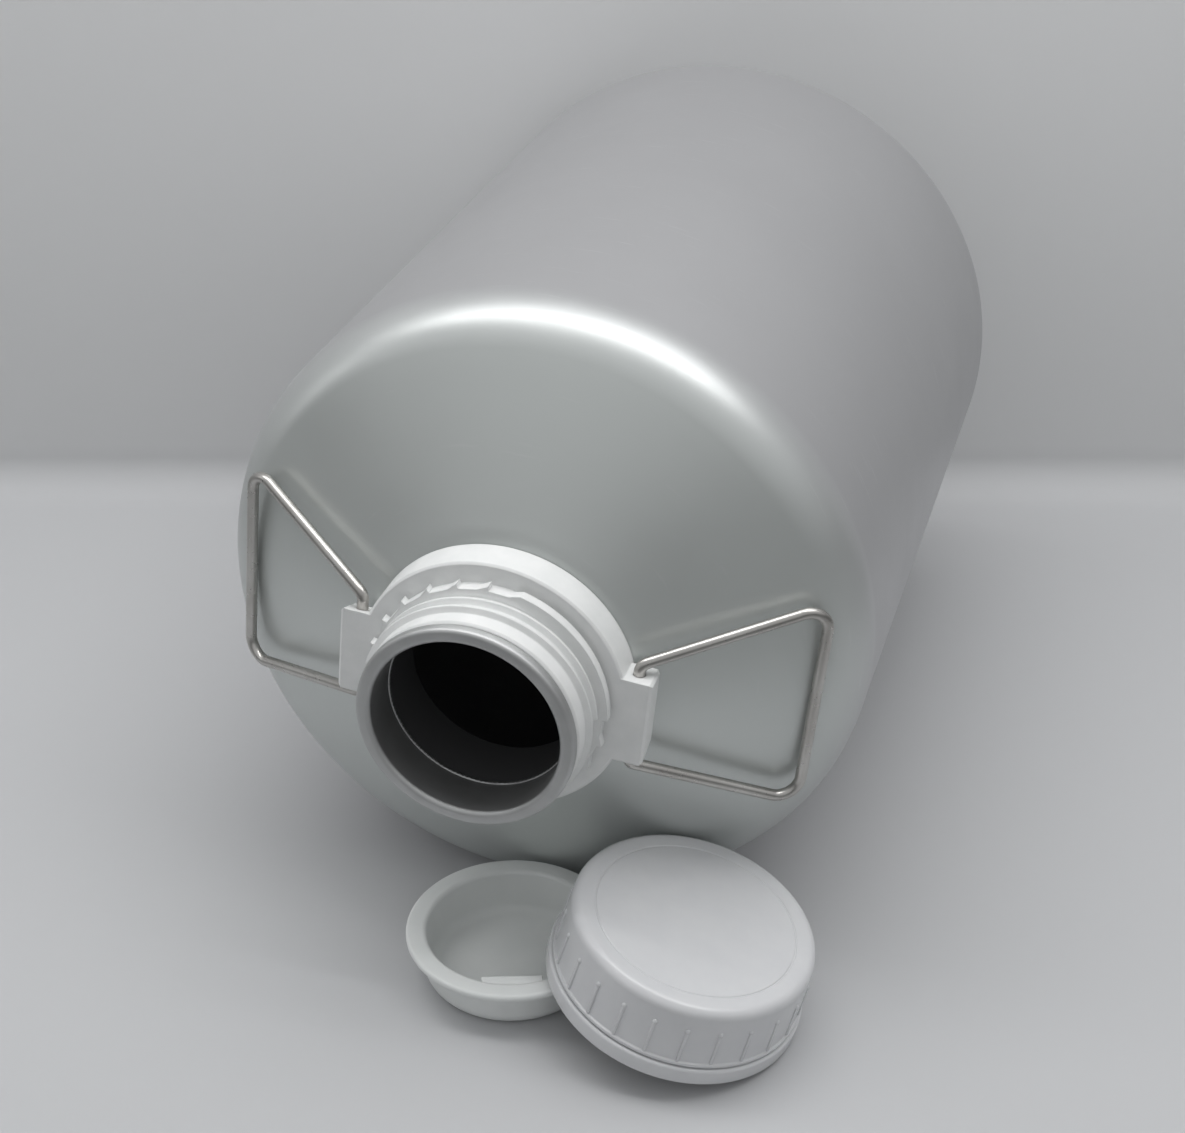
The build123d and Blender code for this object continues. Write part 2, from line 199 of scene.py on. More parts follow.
paper_paint.join(paper_paint.bump(paper_grain, 0.0001, 0.2), paper_paint.shader.inputs["Normal"])

# Only the sheet's face is painted: from behind and from below it is looked through.
facing = paper_paint.add("ShaderNodeNewGeometry")
see_through = paper_paint.add("ShaderNodeBsdfTransparent")
one_sided = paper_paint.add("ShaderNodeMixShader")
paper_paint.join(facing.outputs["Backfacing"], one_sided.inputs[0])
paper_paint.join(paper_paint.shader.outputs["BSDF"], one_sided.inputs[1])
paper_paint.join(see_through.outputs["BSDF"], one_sided.inputs[2])
paper_paint.join(one_sided.outputs["Shader"], paper_paint.tree.nodes["Material Output"].inputs["Surface"])
paper_mesh.materials.append(paper_paint.material)


def soft_light(name, place, target, width, depth, power):
    """Rectangular area light at a place, facing a target."""
    data = bpy.data.lights.new(name, "AREA")
    data.shape = "RECTANGLE"
    data.size = width
    data.size_y = depth
    data.energy = power
    light = bpy.data.objects.new(name, data)
    light.location = place
    light.rotation_euler = (Vector(target) - Vector(place)).to_track_quat("-Z", "Y").to_euler()
    bpy.context.scene.collection.objects.link(light)


soft_light("overhead", (-0.45, 0.06, 1.50), (-0.45, 0.06, 0.0), 3.0, 0.8, 15.0)
soft_light("tube_front", (-0.7, -0.22, 1.40), (-0.7, -0.22, 0.0), 3.8, 0.05, 4.2)
soft_light("tube_back", (-0.7, 0.0, 1.40), (-0.7, 0.0, 0.0), 3.8, 0.05, 4.2)
soft_light("left_panel", (-2.0, 0.1, 0.75), (0.0, 0.0, 0.2), 1.6, 1.0, 5.0)

# The room is bright above and dim near the floor.
room = bpy.data.worlds.new("room")
room.use_nodes = True
room_nodes = room.node_tree.nodes
direction = room_nodes.new("ShaderNodeTexCoord")
parts_of_direction = room_nodes.new("ShaderNodeSeparateXYZ")
room_ramp = room_nodes.new("ShaderNodeValToRGB")
room.node_tree.links.new(direction.outputs["Generated"], parts_of_direction.inputs["Vector"])
room.node_tree.links.new(parts_of_direction.outputs["Z"], room_ramp.inputs["Fac"])
room.node_tree.links.new(room_ramp.outputs["Color"], room_nodes["Background"].inputs["Color"])
room_ramp.color_ramp.elements[0].position = 0.0
room_ramp.color_ramp.elements[0].color = (0.11, 0.112, 0.112, 1)
room_ramp.color_ramp.elements[1].position = 0.42
room_ramp.color_ramp.elements[1].color = (0.80, 0.81, 0.82, 1)
room_nodes["Background"].inputs["Strength"].default_value = 0.72
bpy.context.scene.world = room

# ---- drawn body ----
# The real piece is one aluminium drawing, 1.8 mm thick: recessed base, straight wall, rounded
# corner and a shallow dome with a stub for the neck. It is bead-blasted and clear anodised.
# Made by turning its wall section, outside and inside, round the bottle's axis.
BODY_RADIUS = 145.0
BODY_LENGTH = 433.0
BODY_WALL = 1.8
MOUTH_Y = -201.025
BASE_Y = MOUTH_Y + BODY_LENGTH
NECK_RADIUS = 41.8
SKIRT_RADIUS = 58.25


def softened(corners):
    """Closed outline whose corners are rounded, each given as (out, up, radius)."""
    points = []
    for index, (out, up, radius) in enumerate(corners):
        corner = Vector((out, up))
        if radius == 0:
            points.append((out, up))
            continue
        before = Vector(corners[index - 1][:2]) - corner
        after = Vector(corners[(index + 1) % len(corners)][:2]) - corner
        half = before.angle(after) / 2
        reach = min(radius / math.tan(half), 0.49 * before.length, 0.49 * after.length)
        true_radius = reach * math.tan(half)
        middle = (before.normalized() + after.normalized()).normalized()
        centre = corner + middle * (true_radius / math.sin(half))
        first = corner + before.normalized() * reach - centre
        last = corner + after.normalized() * reach - centre
        sweep = math.atan2(first.x * last.y - first.y * last.x, first.dot(last))
        steps = max(2, math.ceil(abs(sweep) / math.radians(15)))
        for step in range(steps + 1):
            t = sweep * step / steps
            points.append((
                centre.x + first.x * math.cos(t) - first.y * math.sin(t),
                centre.y + first.x * math.sin(t) + first.y * math.cos(t),
            ))
    return points


def arc(centre, radius, start, end, steps):
    """Points of an arc between two angles in degrees."""
    angles = [math.radians(start + (end - start) * i / steps) for i in range(steps + 1)]
    return [(centre[0] + radius * math.cos(a), centre[1] + radius * math.sin(a)) for a in angles]


def drawn(name, points):
    """A closed outline in the XZ plane, drawn point by point in edit mode; sizes in millimetres."""
    bpy.ops.object.select_all(action="DESELECT")
    bpy.ops.mesh.primitive_plane_add(size=MM)
    piece = bpy.context.object
    piece.name = piece.data.name = name
    bpy.ops.object.mode_set(mode="EDIT")
    bpy.ops.mesh.select_mode(type="VERT")
    bpy.ops.mesh.select_all(action="SELECT")
    bpy.ops.mesh.merge(type="CENTER")
    bpy.ops.transform.translate(value=(points[0][0] * MM, 0, points[0][1] * MM))
    for (x0, z0), (x1, z1) in zip(points, points[1:] + points[:1]):
        step = ((x1 - x0) * MM, 0, (z1 - z0) * MM)
        bpy.ops.mesh.extrude_region_move(TRANSFORM_OT_translate={"value": step})
    bpy.ops.mesh.select_all(action="SELECT")
    bpy.ops.mesh.remove_doubles(threshold=1e-6)
    return piece


def closed_up(piece, smooth_angle=35):
    """Leaves edit mode with doubles merged, normals outward and smooth shading."""
    bpy.ops.mesh.select_all(action="SELECT")
    bpy.ops.mesh.remove_doubles(threshold=1e-6)
    bpy.ops.mesh.normals_make_consistent(inside=False)
    bpy.ops.object.mode_set(mode="OBJECT")
    bpy.ops.object.shade_smooth_by_angle(angle=math.radians(smooth_angle))
    return piece


def turned(name, points, steps=180):
    """Solid of revolution about Z from a closed outline of (out, up)."""
    piece = drawn(name, points)
    bpy.ops.mesh.select_all(action="SELECT")
    bpy.ops.mesh.spin(steps=steps, angle=2 * math.pi, center=(0, 0, 0), axis=(0, 0, 1))
    return closed_up(piece)


def set_down(piece, place, turn):
    """Moves a finished piece from where it was drawn to its place, and clears its transform."""
    bpy.ops.object.select_all(action="DESELECT")
    piece.select_set(True)
    bpy.context.view_layer.objects.active = piece
    piece.rotation_euler = turn
    piece.location = place
    bpy.ops.object.transform_apply(location=True, rotation=True, scale=True)
    return piece


def lay_down(piece):
    """Puts a piece of the standing bottle on its side, mouth towards -Y."""
    return set_down(piece, (0, BASE_Y * MM, BODY_RADIUS * MM), (math.radians(90), 0, 0))


def finish_piece(piece, material, body, slot, *nodes):
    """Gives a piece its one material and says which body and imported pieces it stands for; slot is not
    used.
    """
    piece.data.materials.clear()
    piece.data.materials.append(material)
    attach(piece, body)
    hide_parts(*nodes)
    return piece


FOOT_RADIUS = 14.0
FOOT_EDGE = BODY_RADIUS - FOOT_RADIUS
RECESS_EDGE = 119.0
BASE_RECESS = 7.0
SHOULDER_START = BODY_LENGTH - 107.0
CORNER_CENTRE = (117.0, SHOULDER_START)
CORNER_RADIUS = 28.0
DOME_START = 63.0              # degrees on the corner arc
DOME_END = (SKIRT_RADIUS, BODY_LENGTH - 49.0)
STUB_FLARE = 2.0               # the stub starts this far above the dome's inner end
STUB_TOP = BODY_LENGTH - 22.8


def dome_line(inset):
    """Points from the corner arc's end to the dome's inner end, for a skin moved in by inset."""
    out, up = -math.cos(math.radians(DOME_START)), -math.sin(math.radians(DOME_START))
    start = (CORNER_CENTRE[0] - out * CORNER_RADIUS, CORNER_CENTRE[1] - up * CORNER_RADIUS)
    chord = (DOME_END[0] - start[0], DOME_END[1] - start[1])
    radius = (chord[0] ** 2 + chord[1] ** 2) / (2 * (chord[0] * out + chord[1] * up))
    centre = (start[0] + out * radius, start[1] + up * radius)
    end = math.degrees(math.atan2(DOME_END[1] - centre[1], DOME_END[0] - centre[0]))
    return arc(centre, radius - inset, DOME_START, end, 10)[1:]


def wall_skin(inset):
    """The body's skin from the base's centre up to the dome's inner end."""
    rise = BASE_RECESS + inset
    recess = [(RECESS_EDGE * t, inset + (rise - inset) * (1 - t * t)) for t in [i / 8 for i in range(9)]]
    foot = arc((FOOT_EDGE, FOOT_RADIUS), FOOT_RADIUS - inset, -90, 0, 8)
    corner = arc(CORNER_CENTRE, CORNER_RADIUS - inset, 0, DOME_START, 14)
    wall_height = SHOULDER_START - FOOT_RADIUS
    straight = [(BODY_RADIUS - inset, FOOT_RADIUS + wall_height * t) for t in (0.25, 0.5, 0.75)]
    return recess + foot + straight + corner + dome_line(inset)


outside = wall_skin(0)
inside = wall_skin(BODY_WALL)
outline = outside + [(NECK_RADIUS, outside[-1][1] + STUB_FLARE), (NECK_RADIUS, STUB_TOP)]
outline += [(NECK_RADIUS - BODY_WALL, STUB_TOP), (NECK_RADIUS - BODY_WALL, inside[-1][1] + STUB_FLARE)]
outline += inside[::-1]
body = lay_down(turned("drawn_body", outline, 216))

AXIS_CENTRE = (0, 0, BODY_RADIUS * MM)


def from_axis(paint):
    """Distance of the shaded point from the bottle's axis, in metres."""
    length = paint.add("ShaderNodeVectorMath", operation="LENGTH")
    paint.join(paint.place((1, 0, 1), AXIS_CENTRE), length.inputs[0])
    return length.outputs["Value"]


# The dome is painted lighter and a little greener than the wall, painted light on one drawn piece, and the
# stub's inside is painted near black, painted shade inside the neck.
blasted = Nodes("blasted_aluminium")
whole = blasted.place(centre=AXIS_CENTRE)
split = blasted.add("ShaderNodeSeparateXYZ")
blasted.join(blasted.place(), split.inputs["Vector"])
# Painted light: this mask paints the dome lighter than the wall.
dome_to_wall_painted_light = blasted.spread(split.outputs["Y"], -0.12, -0.09, 0.0, 1.0)
tone = blasted.mix(dome_to_wall_painted_light, (0.630, 0.657, 0.645), (0.490, 0.490, 0.500))
cloud = blasted.spread(blasted.noise(whole, 9.0, 3.0), 0.3, 0.7, 0.0, 1.0)
darker = blasted.mix(dome_to_wall_painted_light, (0.610, 0.637, 0.625), (0.475, 0.475, 0.485))
tone = blasted.mix(cloud, darker, tone)
marks = blasted.noise(blasted.place((40, 900, 40)), 1.0, 2.0)
rubbed = blasted.spread(marks, 0.68, 0.76, 0.0, 0.25)
tone = blasted.mix(rubbed, tone, (0.70, 0.71, 0.71))
# Painted shade: the inside of the neck stub is painted near black.
neck_painted_shade = blasted.math(
    "MULTIPLY",
    blasted.spread(from_axis(blasted), 0.0402, 0.0412, 1.0, 0.0),
    blasted.spread(split.outputs["Y"], -0.12, -0.10, 1.0, 0.0),
)
blasted.join(blasted.mix(neck_painted_shade, tone, (0.16, 0.16, 0.165)), blasted.shader.inputs["Base Color"])
blast_rough = blasted.spread(blasted.noise(whole, 22.0, 4.0), 0.3, 0.7, 0.35, 0.41)
blasted.join(blast_rough, blasted.shader.inputs["Roughness"])
blasted.set(Metallic=0.62)
grain = blasted.bump(blasted.noise(whole, 2600.0, 2.0), 0.00004, 0.35)
waves = blasted.bump(blasted.noise(whole, 7.0, 1.0), 0.0006, 0.25, grain)
blasted.join(waves, blasted.shader.inputs["Normal"])
finish_piece(body, blasted.material, "bottle", "blasted_aluminium", "body_shell")

# ---- rolled mouth and neck tube ----
# The real piece is a short turned aluminium tube whose front edge is rolled outwards into a
# hollow bead. It is welded to the body's stub inside the neck. Made by turning its section.
BORE = 40.0
LIP_RADIUS = BORE + 6.4
LIP_UNDER = BODY_LENGTH - 5.6
LIP_ROOT = BODY_LENGTH - 6.4
TUBE_FOOT = BODY_LENGTH - 20.8
neck_outline = softened([
    (BORE, TUBE_FOOT, 0), (BORE, BODY_LENGTH, 2.3), (LIP_RADIUS, BODY_LENGTH - 0.25, 2.1),
    (LIP_RADIUS, LIP_UNDER, 1.6), (NECK_RADIUS, LIP_ROOT, 0.8), (NECK_RADIUS, TUBE_FOOT, 0),
])
mouth = lay_down(turned("rolled_mouth", neck_outline, 180))

turned_metal = Nodes("turned_aluminium")
split = turned_metal.add("ShaderNodeSeparateXYZ")
turned_metal.join(turned_metal.place(centre=AXIS_CENTRE), split.inputs["Vector"])
rings = turned_metal.add("ShaderNodeCombineXYZ")
turned_metal.join(from_axis(turned_metal), rings.inputs["X"])
turned_metal.join(split.outputs["Y"], rings.inputs["Y"])
tool_lines = turned_metal.noise(rings.outputs["Vector"], 2400.0, 3.0, 0.6)
smudge = turned_metal.noise(turned_metal.place(), 60.0, 3.0)
smudged = turned_metal.spread(smudge, 0.3, 0.7, 0, 1)
turned_tone = turned_metal.mix(smudged, (0.49, 0.495, 0.495), (0.55, 0.555, 0.555))
turned_metal.join(turned_tone, turned_metal.shader.inputs["Base Color"])
turned_rough = turned_metal.spread(tool_lines, 0.3, 0.7, 0.48, 0.58)
turned_metal.join(turned_rough, turned_metal.shader.inputs["Roughness"])
turned_metal.set(Metallic=1.0)
turned_metal.join(turned_metal.bump(tool_lines, 0.00003, 0.5), turned_metal.shader.inputs["Normal"])
finish_piece(mouth, turned_metal.material, "bottle", "turned_aluminium", "neck_tube")

# ---- weld bead inside the neck ----
# The real piece is a thin bright bead that joins the neck tube to the body's stub. It was laid
# in small overlapping puddles. Made by turning a low mound and rippling it round the bore.
WELD_UP = BODY_LENGTH - 21.8
WELD_HALF_WIDTH = 1.0
WELD_HEIGHT = 0.75
PUDDLES = 120
mound = [(NECK_RADIUS, WELD_UP - WELD_HALF_WIDTH), (BORE, WELD_UP - WELD_HALF_WIDTH)]
for step in range(1, 8):
    t = math.pi * step / 8
    mound.append((BORE - WELD_HEIGHT * math.sin(t), WELD_UP - WELD_HALF_WIDTH * math.cos(t)))
mound += [(BORE, WELD_UP + WELD_HALF_WIDTH), (NECK_RADIUS, WELD_UP + WELD_HALF_WIDTH)]
weld = turned("weld_bead", mound, 480)
for vertex in weld.data.vertices:
    across = math.hypot(vertex.co.x, vertex.co.y)
    if across < (BORE - 0.01) * MM:
        turn = math.atan2(vertex.co.y, vertex.co.x)
        low = 1 - 0.35 * abs(math.sin(turn * PUDDLES / 2)) - 0.12 * math.sin(turn * 7) ** 2
        shrink = (BORE * MM - (BORE * MM - across) * low) / across
        vertex.co.x *= shrink
        vertex.co.y *= shrink
lay_down(weld)
weld_metal = Nodes("weld_aluminium")
soot = weld_metal.spread(weld_metal.noise(weld_metal.place(), 180.0, 4.0), 0.35, 0.65, 0, 1)
weld_tone = weld_metal.mix(soot, (0.42, 0.42, 0.42), (0.55, 0.56, 0.56))
weld_metal.join(weld_tone, weld_metal.shader.inputs["Base Color"])
weld_metal.join(weld_metal.spread(soot, 0, 1, 0.55, 0.42), weld_metal.shader.inputs["Roughness"])
weld_metal.set(Metallic=1.0)
weld_metal.join(weld_metal.bump(soot, 0.0001, 0.3), weld_metal.shader.inputs["Normal"])
finish_piece(weld, weld_metal.material, "bottle", "weld_aluminium", "neck_weld")

# ---- moulded collar ----
# The real piece is one white polypropylene moulding pressed over the neck: outside thread,
# ratchet ledge, skirt and two ears that carry the handles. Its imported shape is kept.
moulded = Nodes("collar_white")
speck = moulded.noise(moulded.place(), 90.0, 5.0, 0.6)
collar_tone = moulded.mix(moulded.spread(speck, 0.35, 0.65, 0, 1), (0.77, 0.78, 0.775), (0.82, 0.825, 0.82))
moulded.join(collar_tone, moulded.shader.inputs["Base Color"])
moulded.join(moulded.spread(speck, 0.3, 0.7, 0.34, 0.46), moulded.shader.inputs["Roughness"])
soft_edges = moulded.add("ShaderNodeBevel", samples=6)
soft_edges.inputs["Radius"].default_value = 0.9 * MM
fine_grain = moulded.noise(moulded.place(), 900.0, 2.0)
collar_skin = moulded.bump(fine_grain, 0.00003, 0.3, soft_edges.outputs["Normal"])
moulded.join(collar_skin, moulded.shader.inputs["Normal"])
moulded.set(Subsurface_Weight=0.12, Subsurface_Radius=(0.002, 0.002, 0.002))
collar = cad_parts["neck_collar"]
collar.data.materials.clear()
collar.data.materials.append(moulded.material)

# ---- two wire handles ----
# Each real piece is a length of 5 mm drawn stainless wire, bent at four corners into an open
# trapezium whose turned-in ends sit in an ear. Made by extruding the wire and spinning each bend.
WIRE_RADIUS = 2.5
HINGE_RADIUS = 59.85
HINGE_DEPTH = 39.65
EAR_TURN = -5.7                # degrees; the ears don't stand quite level
FOLD = 29.306                  # degrees back from straight out, where the loop meets the shoulder
PIN_END = 6.0
EAR_HALF = 24.5
REACH = 77.0
GRIP_HALF = 50.0
EAR_BEND = 4.2
CORNER_BEND = 9.0
wire_bends = [EAR_BEND, CORNER_BEND, CORNER_BEND, EAR_BEND]
wire_corners = [
    (0, PIN_END), (0, EAR_HALF), (REACH, GRIP_HALF), (REACH, -GRIP_HALF), (0, -EAR_HALF), (0, -PIN_END),
]

steel = Nodes("steel_wire")
draw_marks = steel.noise(steel.place(), 420.0, 2.0, 0.4)
stain = steel.noise(steel.place(), 45.0, 3.0)
steel_tone = steel.mix(steel.spread(stain, 0.35, 0.65, 0, 1), (0.45, 0.435, 0.415), (0.53, 0.52, 0.50))
steel.join(steel_tone, steel.shader.inputs["Base Color"])
steel.join(steel.spread(draw_marks, 0.3, 0.7, 0.27, 0.31), steel.shader.inputs["Roughness"])
steel.set(Metallic=1.0)
steel.join(steel.bump(draw_marks, 0.000005, 0.03), steel.shader.inputs["Normal"])


def wire_handle(name, side):
    """Wire drawn in its own plane (out = X, across = Y), then hung in its ear."""
    bpy.ops.object.select_all(action="DESELECT")
    bpy.ops.mesh.primitive_circle_add(vertices=28, radius=WIRE_RADIUS * MM, fill_type="NGON")
    piece = bpy.context.object
    piece.name = piece.data.name = name
    piece.rotation_euler = (math.radians(90), 0, 0)
    piece.location = (wire_corners[0][0] * MM, wire_corners[0][1] * MM, 0)
    bpy.ops.object.transform_apply(location=True, rotation=True)
    bpy.ops.object.mode_set(mode="EDIT")
    bpy.ops.mesh.select_all(action="SELECT")
    at = Vector(wire_corners[0])
    last = len(wire_corners) - 1
    for index in range(1, last + 1):
        corner = Vector(wire_corners[index])
        heading = (corner - at).normalized()
        if index == last:
            step = corner - at
            bpy.ops.mesh.extrude_region_move(TRANSFORM_OT_translate={"value": (step.x * MM, step.y * MM, 0)})
            break
        onward = (Vector(wire_corners[index + 1]) - corner).normalized()
        turn = math.atan2(heading.x * onward.y - heading.y * onward.x, heading.dot(onward))
        bend_radius = wire_bends[index - 1]
        cut = bend_radius * math.tan(abs(turn) / 2)
        step = corner - heading * cut - at
        bpy.ops.mesh.extrude_region_move(TRANSFORM_OT_translate={"value": (step.x * MM, step.y * MM, 0)})
        left = Vector((-heading.y, heading.x)) * (1 if turn > 0 else -1)
        centre = corner - heading * cut + left * bend_radius
        bpy.ops.mesh.spin(
            steps=12, angle=-turn, center=(centre.x * MM, centre.y * MM, 0), axis=(0, 0, 1)
        )
        at = corner + onward * cut
    closed_up(piece, 50)
    fold, turn = math.radians(FOLD), math.radians(EAR_TURN + (0 if side > 0 else 180))
    set_down(piece, (0, 0, 0), (0, fold, 0))
    set_down(piece, (HINGE_RADIUS * MM, 0, (BODY_LENGTH - HINGE_DEPTH) * MM), (0, 0, 0))
    set_down(piece, (0, 0, 0), (0, 0, turn))
    return lay_down(piece)


right_wire = wire_handle("right_wire_handle", 1)
finish_piece(right_wire, steel.material, "right_handle", "steel_wire", "right_handle")
left_wire = wire_handle("left_wire_handle", -1)
finish_piece(left_wire, steel.material, "left_handle", "steel_wire", "left_handle")

# ---- inner plug ----
# The real piece is a natural polyethylene moulding, frosted and faintly see-through: a shallow
# cup under a wide flange, with a tab on the inside to pull it by. Made by turning its section.
PLUG_PLACE = (8.0 * MM, (MOUTH_Y + 30.0) * MM, 0)
CUP_FLOOR = 2.4
CUP_BORE = 37.3
FLANGE_RADIUS = 46.4
FLANGE_UNDER = 20.4
FLANGE_TOP = 23.8
plug_outline = softened([
    (0, 0, 0), (38.9, 0, 7.5), (39.6, 17.5, 0.6), (39.7, FLANGE_UNDER, 0.9),
    (FLANGE_RADIUS, FLANGE_UNDER, 1.3), (FLANGE_RADIUS, FLANGE_TOP, 1.5), (CUP_BORE, FLANGE_TOP, 2.2),
    (36.4, CUP_FLOOR, 6.0), (0, CUP_FLOOR, 0),
])
plug = turned("inner_plug_cup", plug_outline, 160)


def block(name, size, place, edge, segments=3):
    """A moulded block with rounded edges; sizes in millimetres."""
    bpy.ops.object.select_all(action="DESELECT")
    bpy.ops.mesh.primitive_cube_add(size=1)
    piece = bpy.context.object
    piece.name = piece.data.name = name
    piece.scale = [v * MM for v in size]
    bpy.ops.object.transform_apply(scale=True)
    piece.location = [v * MM for v in place]
    bpy.ops.object.transform_apply(location=True)
    bpy.ops.object.mode_set(mode="EDIT")
    bpy.ops.mesh.select_all(action="SELECT")
    bpy.ops.mesh.bevel(offset=edge * MM, segments=segments, affect="EDGES")
    return closed_up(piece, 50)


def joined(main, others):
    """One mesh out of several finished ones."""
    bpy.ops.object.select_all(action="DESELECT")
    for piece in [main, *others]:
        piece.select_set(True)
    bpy.context.view_layer.objects.active = main
    bpy.ops.object.join()
    return main


TAB_TURN = math.radians(-71)
tab = block("pull_tab", (6.2, 26.0, 2.0), (CUP_BORE - 1.9, 0, FLANGE_TOP - 1.5), 0.5)
set_down(tab, (0, 0, 0), (0, 0, TAB_TURN))
plug = set_down(joined(plug, [tab]), PLUG_PLACE, (0, 0, 0))

natural = Nodes("natural_plastic")
milk = natural.spread(natural.noise(natural.place(), 38.0, 4.0), 0.3, 0.7, 0, 1)
milk_tone = natural.mix(milk, (0.80, 0.82, 0.81), (0.85, 0.865, 0.855))
natural.join(milk_tone, natural.shader.inputs["Base Color"])
natural.join(natural.spread(milk, 0, 1, 0.36, 0.46), natural.shader.inputs["Roughness"])
natural.set(
    IOR=1.5, Transmission_Weight=0.15, Subsurface_Weight=0.8, Subsurface_Radius=(0.014, 0.014, 0.014),
)
frost = natural.bump(natural.noise(natural.place(), 500.0, 3.0), 0.00005, 0.3)
natural.join(frost, natural.shader.inputs["Normal"])
finish_piece(plug, natural.material, "inner_plug", "natural_plastic", "inner_plug")

# ---- screw cap ----
# The real piece is a white polyethylene moulding: flat top with a fine ring groove, wide rounded
# edge, slightly flaring skirt with 24 slim grip ribs that end in small beads, and a thin foot lip.
# Made by turning its section, then adding the ribs and winding the thread inside.
CAP_LEAN = math.radians(14.7524)
BAND_RADIUS = 55.95
FLOOR_GAP = 0.3                # under the lowest edge of the leaning cap
CAP_PLACE = (
    82.0 * MM,
    (MOUTH_Y + 25.0) * MM,
    (BAND_RADIUS * math.sin(CAP_LEAN) + FLOOR_GAP) * MM,
)
CAP_HEIGHT = 38.65
CAP_TOP_RADIUS = 52.95
CAP_TOP_EDGE = 7.0
CAP_FOOT_RADIUS = 53.75
CAP_LIP_RADIUS = CAP_FOOT_RADIUS + 1
CAP_BORE = 50.75
CAP_CEILING = 36.65
SKIRT_FOOT = 8.8
LIP_TOP = SKIRT_FOOT + 1.9
GROOVE = 43.5
GROOVE_FLOOR = CAP_HEIGHT - 0.4
LINER_BORE = 48.05
LINER_BEAD_BORE = 46.95
LINER_BEAD_TOP = 35.55
cap_outline = softened([
    (0, CAP_HEIGHT, 0), (GROOVE - 0.55, CAP_HEIGHT, 0.25), (GROOVE - 0.15, GROOVE_FLOOR, 0.15),
    (GROOVE + 0.15, GROOVE_FLOOR, 0.15), (GROOVE + 0.55, CAP_HEIGHT, 0.25),
    (CAP_TOP_RADIUS, CAP_HEIGHT, CAP_TOP_EDGE), (CAP_FOOT_RADIUS, LIP_TOP, 0.5),
    (CAP_LIP_RADIUS, LIP_TOP - 0.4, 0.4), (CAP_LIP_RADIUS, SKIRT_FOOT, 0.4),
    (CAP_BORE, SKIRT_FOOT, 0.4), (CAP_BORE, 31.55, 0.3), (LINER_BORE, 33.55, 0.3),
    (LINER_BEAD_BORE, 34.75, 0.3), (LINER_BEAD_BORE, LINER_BEAD_TOP, 0.2),
    (LINER_BORE, LINER_BEAD_TOP, 0.1), (LINER_BORE, CAP_CEILING, 0.3), (0, CAP_CEILING, 0),
])
cap = turned("ribbed_screw_cap", cap_outline, 192)

RIB_COUNT = 24
RIB_TOP = 27.0
RIB_BEAD_RADIUS = 1.3


def grip_rib(index):
    """One slim rib with a small flattened bead at its upper end."""
    length = RIB_TOP - LIP_TOP
    radius = (CAP_FOOT_RADIUS + CAP_TOP_RADIUS) / 2
    rib = block("grip_rib", (1.7, 1.5, length), (0, 0, 0), 0.42, 2)
    bpy.ops.mesh.primitive_uv_sphere_add(
        segments=14, ring_count=8, radius=RIB_BEAD_RADIUS * MM, location=(0, 0, length / 2 * MM)
    )
    bead = bpy.context.object
    bead.scale = (0.85, 0.95, 1.1)
    bpy.ops.object.transform_apply(location=True, scale=True)
    bpy.ops.object.shade_smooth()
    joined(rib, [bead])
    draft = math.atan2(CAP_FOOT_RADIUS - CAP_TOP_RADIUS, CAP_HEIGHT - CAP_TOP_EDGE - LIP_TOP)
    set_down(rib, (radius * MM, 0, (RIB_TOP + LIP_TOP) / 2 * MM), (0, -draft, 0))
    return set_down(rib, (0, 0, 0), (0, 0, math.radians(index * 360 / RIB_COUNT)))


def wound_thread(name, section, pitch, turns, start):
    """Thread ridge: a section drawn at the start of the helix, wound up along Z."""
    ridge = drawn(name, [(out, up + start) for out, up in section])
    bpy.ops.object.mode_set(mode="OBJECT")
    screw = ridge.modifiers.new("winding", "SCREW")
    screw.angle = 2 * math.pi * turns
    screw.screw_offset = pitch * turns * MM
    screw.steps = screw.render_steps = int(90 * turns)
    bpy.ops.object.modifier_apply(modifier=screw.name)
    bpy.ops.object.mode_set(mode="EDIT")
    bpy.ops.mesh.select_all(action="DESELECT")
    bpy.ops.mesh.select_non_manifold()
    bpy.ops.mesh.edge_face_add()
    return closed_up(ridge, 30)


THREAD_CREST = 47.4
THREAD_ROOT = CAP_BORE + 0.25
THREAD_PITCH = 6.4
THREAD_TURNS = 1.45
THREAD_START = 11.9
ridge_section = softened([
    (THREAD_ROOT, -1.6, 0), (CAP_BORE, -1.6, 0.2), (THREAD_CREST, -0.6, 0.4),
    (THREAD_CREST, 0.6, 0.4), (CAP_BORE, 1.6, 0.2), (THREAD_ROOT, 1.6, 0),
])
cap_ridge = wound_thread("cap_thread", ridge_section, THREAD_PITCH, THREAD_TURNS, THREAD_START)
cap = joined(cap, [grip_rib(index) for index in range(RIB_COUNT)] + [cap_ridge])
set_down(cap, CAP_PLACE, (0, CAP_LEAN, 0))

cap_plastic = Nodes("cap_white")
cap_cloud = cap_plastic.spread(cap_plastic.noise(cap_plastic.place(), 55.0, 5.0, 0.6), 0.35, 0.65, 0, 1)
# Painted shade: the cap's white is painted greyer than the collar's, for the shade the bottle throws on it.
cap_painted_shade_tone = cap_plastic.mix(cap_cloud, (0.62, 0.625, 0.64), (0.645, 0.65, 0.66))
cap_plastic.join(cap_painted_shade_tone, cap_plastic.shader.inputs["Base Color"])
scuffs = cap_plastic.noise(cap_plastic.place((30, 260, 90)), 3.0, 6.0, 0.65)
cap_plastic.join(cap_plastic.spread(scuffs, 0.3, 0.7, 0.19, 0.25), cap_plastic.shader.inputs["Roughness"])
cap_skin = cap_plastic.bump(cap_plastic.noise(cap_plastic.place(), 420.0, 3.0), 0.00004, 0.25)
cap_plastic.join(cap_skin, cap_plastic.shader.inputs["Normal"])
cap_plastic.set(Subsurface_Weight=0.15, Subsurface_Radius=(0.002, 0.002, 0.002))
finish_piece(cap, cap_plastic.material, "cap", "cap_white", "screw_cap")

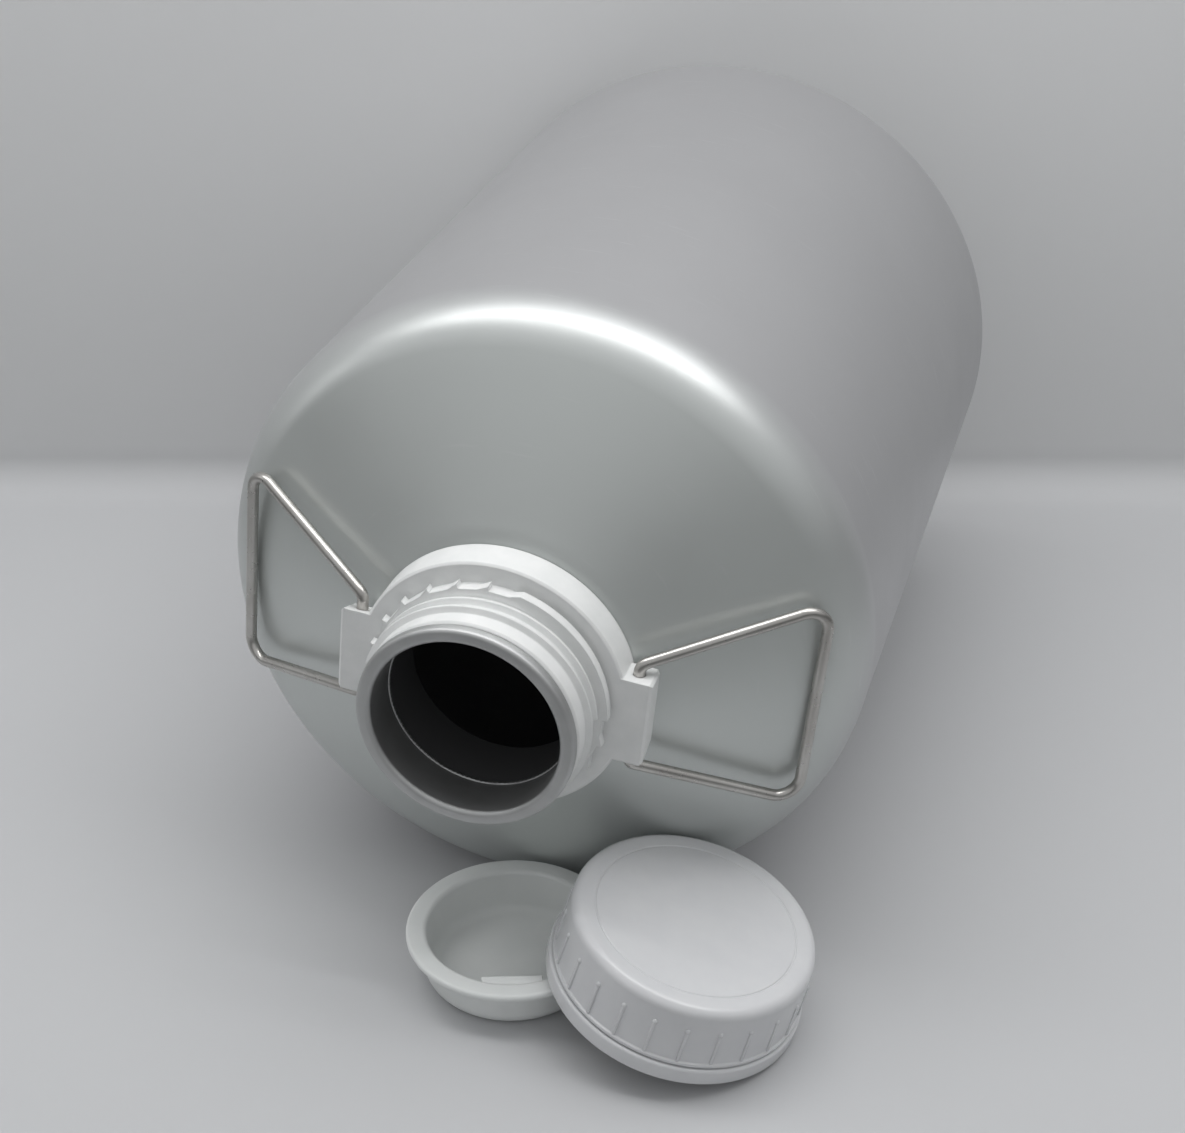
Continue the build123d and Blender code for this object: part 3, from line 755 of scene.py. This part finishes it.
# ---- tamper band ----
# The real piece is the ring at the cap's foot that stays behind when the bottle is opened: a
# rounded outside, a plain bore and an inward snap bead. Made by turning its section.
BAND_BORE = 52.85
BAND_TOP = 8.0
SNAP_BORE = 50.25
band = turned("tamper_ring", softened([
    (BAND_BORE, 0, 0.2), (BAND_RADIUS, 0, 1.1), (BAND_RADIUS, BAND_TOP, 1.3), (BAND_BORE, BAND_TOP, 0.4),
    (BAND_BORE, 0.9, 0.2), (SNAP_BORE, 0.9, 0.15), (SNAP_BORE, 0.5, 0.15),
]), 192)
set_down(band, CAP_PLACE, (0, CAP_LEAN, 0))
finish_piece(band, cap_plastic.material, "cap", "cap_white", "tamper_band")

# ---- break-off bridges ----
# Sixteen tiny bridges of the cap's own plastic join its foot to the tamper ring across the slit,
# and tear when the cap is first turned. Made as small blocks with rounded edges.
BRIDGE_COUNT = 16
SLIT = SKIRT_FOOT - BAND_TOP
bridges = []
for index in range(BRIDGE_COUNT):
    bridge = block("bridge", (1.0, 1.6, SLIT), (53.25, 0, BAND_TOP + SLIT / 2), 0.12, 2)
    bridges.append(set_down(bridge, (0, 0, 0), (0, 0, math.radians((index + 0.5) * 360 / BRIDGE_COUNT))))
bridge_ring = joined(bridges[0], bridges[1:])
bridge_ring.name = bridge_ring.data.name = "break_off_bridges"
set_down(bridge_ring, CAP_PLACE, (0, CAP_LEAN, 0))
finish_piece(bridge_ring, cap_plastic.material, "cap", "cap_white", "tamper_bridges")

# ---- lining disc ----
# The real piece is a 1 mm foamed disc snapped in under the cap's ceiling, with the ring that the
# plug's flange has pressed into it. Made by turning its section with that shallow ring.
DISC_TOP = CAP_CEILING - 0.05
DISC_UNDER = DISC_TOP - 1.0
DISC_RADIUS = 47.75
PRESSED_UP = DISC_UNDER + 0.12
liner = turned("lining_disc", softened([
    (0, DISC_TOP, 0), (DISC_RADIUS, DISC_TOP, 0.2), (DISC_RADIUS, DISC_UNDER, 0.2),
    (FLANGE_RADIUS, DISC_UNDER, 0.2), (FLANGE_RADIUS - 0.3, PRESSED_UP, 0.2),
    (38.2, PRESSED_UP, 0.2), (37.8, DISC_UNDER, 0.2), (0, DISC_UNDER, 0),
]), 160)
set_down(liner, CAP_PLACE, (0, CAP_LEAN, 0))
foam = Nodes("foam_white")
cells = foam.noise(foam.place(), 1500.0, 3.0)
foam_tone = foam.mix(foam.spread(cells, 0.3, 0.7, 0, 1), (0.78, 0.78, 0.76), (0.88, 0.88, 0.86))
foam.join(foam_tone, foam.shader.inputs["Base Color"])
foam.set(Roughness=0.62)
foam.join(foam.bump(cells, 0.0001, 0.5), foam.shader.inputs["Normal"])
finish_piece(liner, foam.material, "cap_seal", "foam_white", "cap_liner")
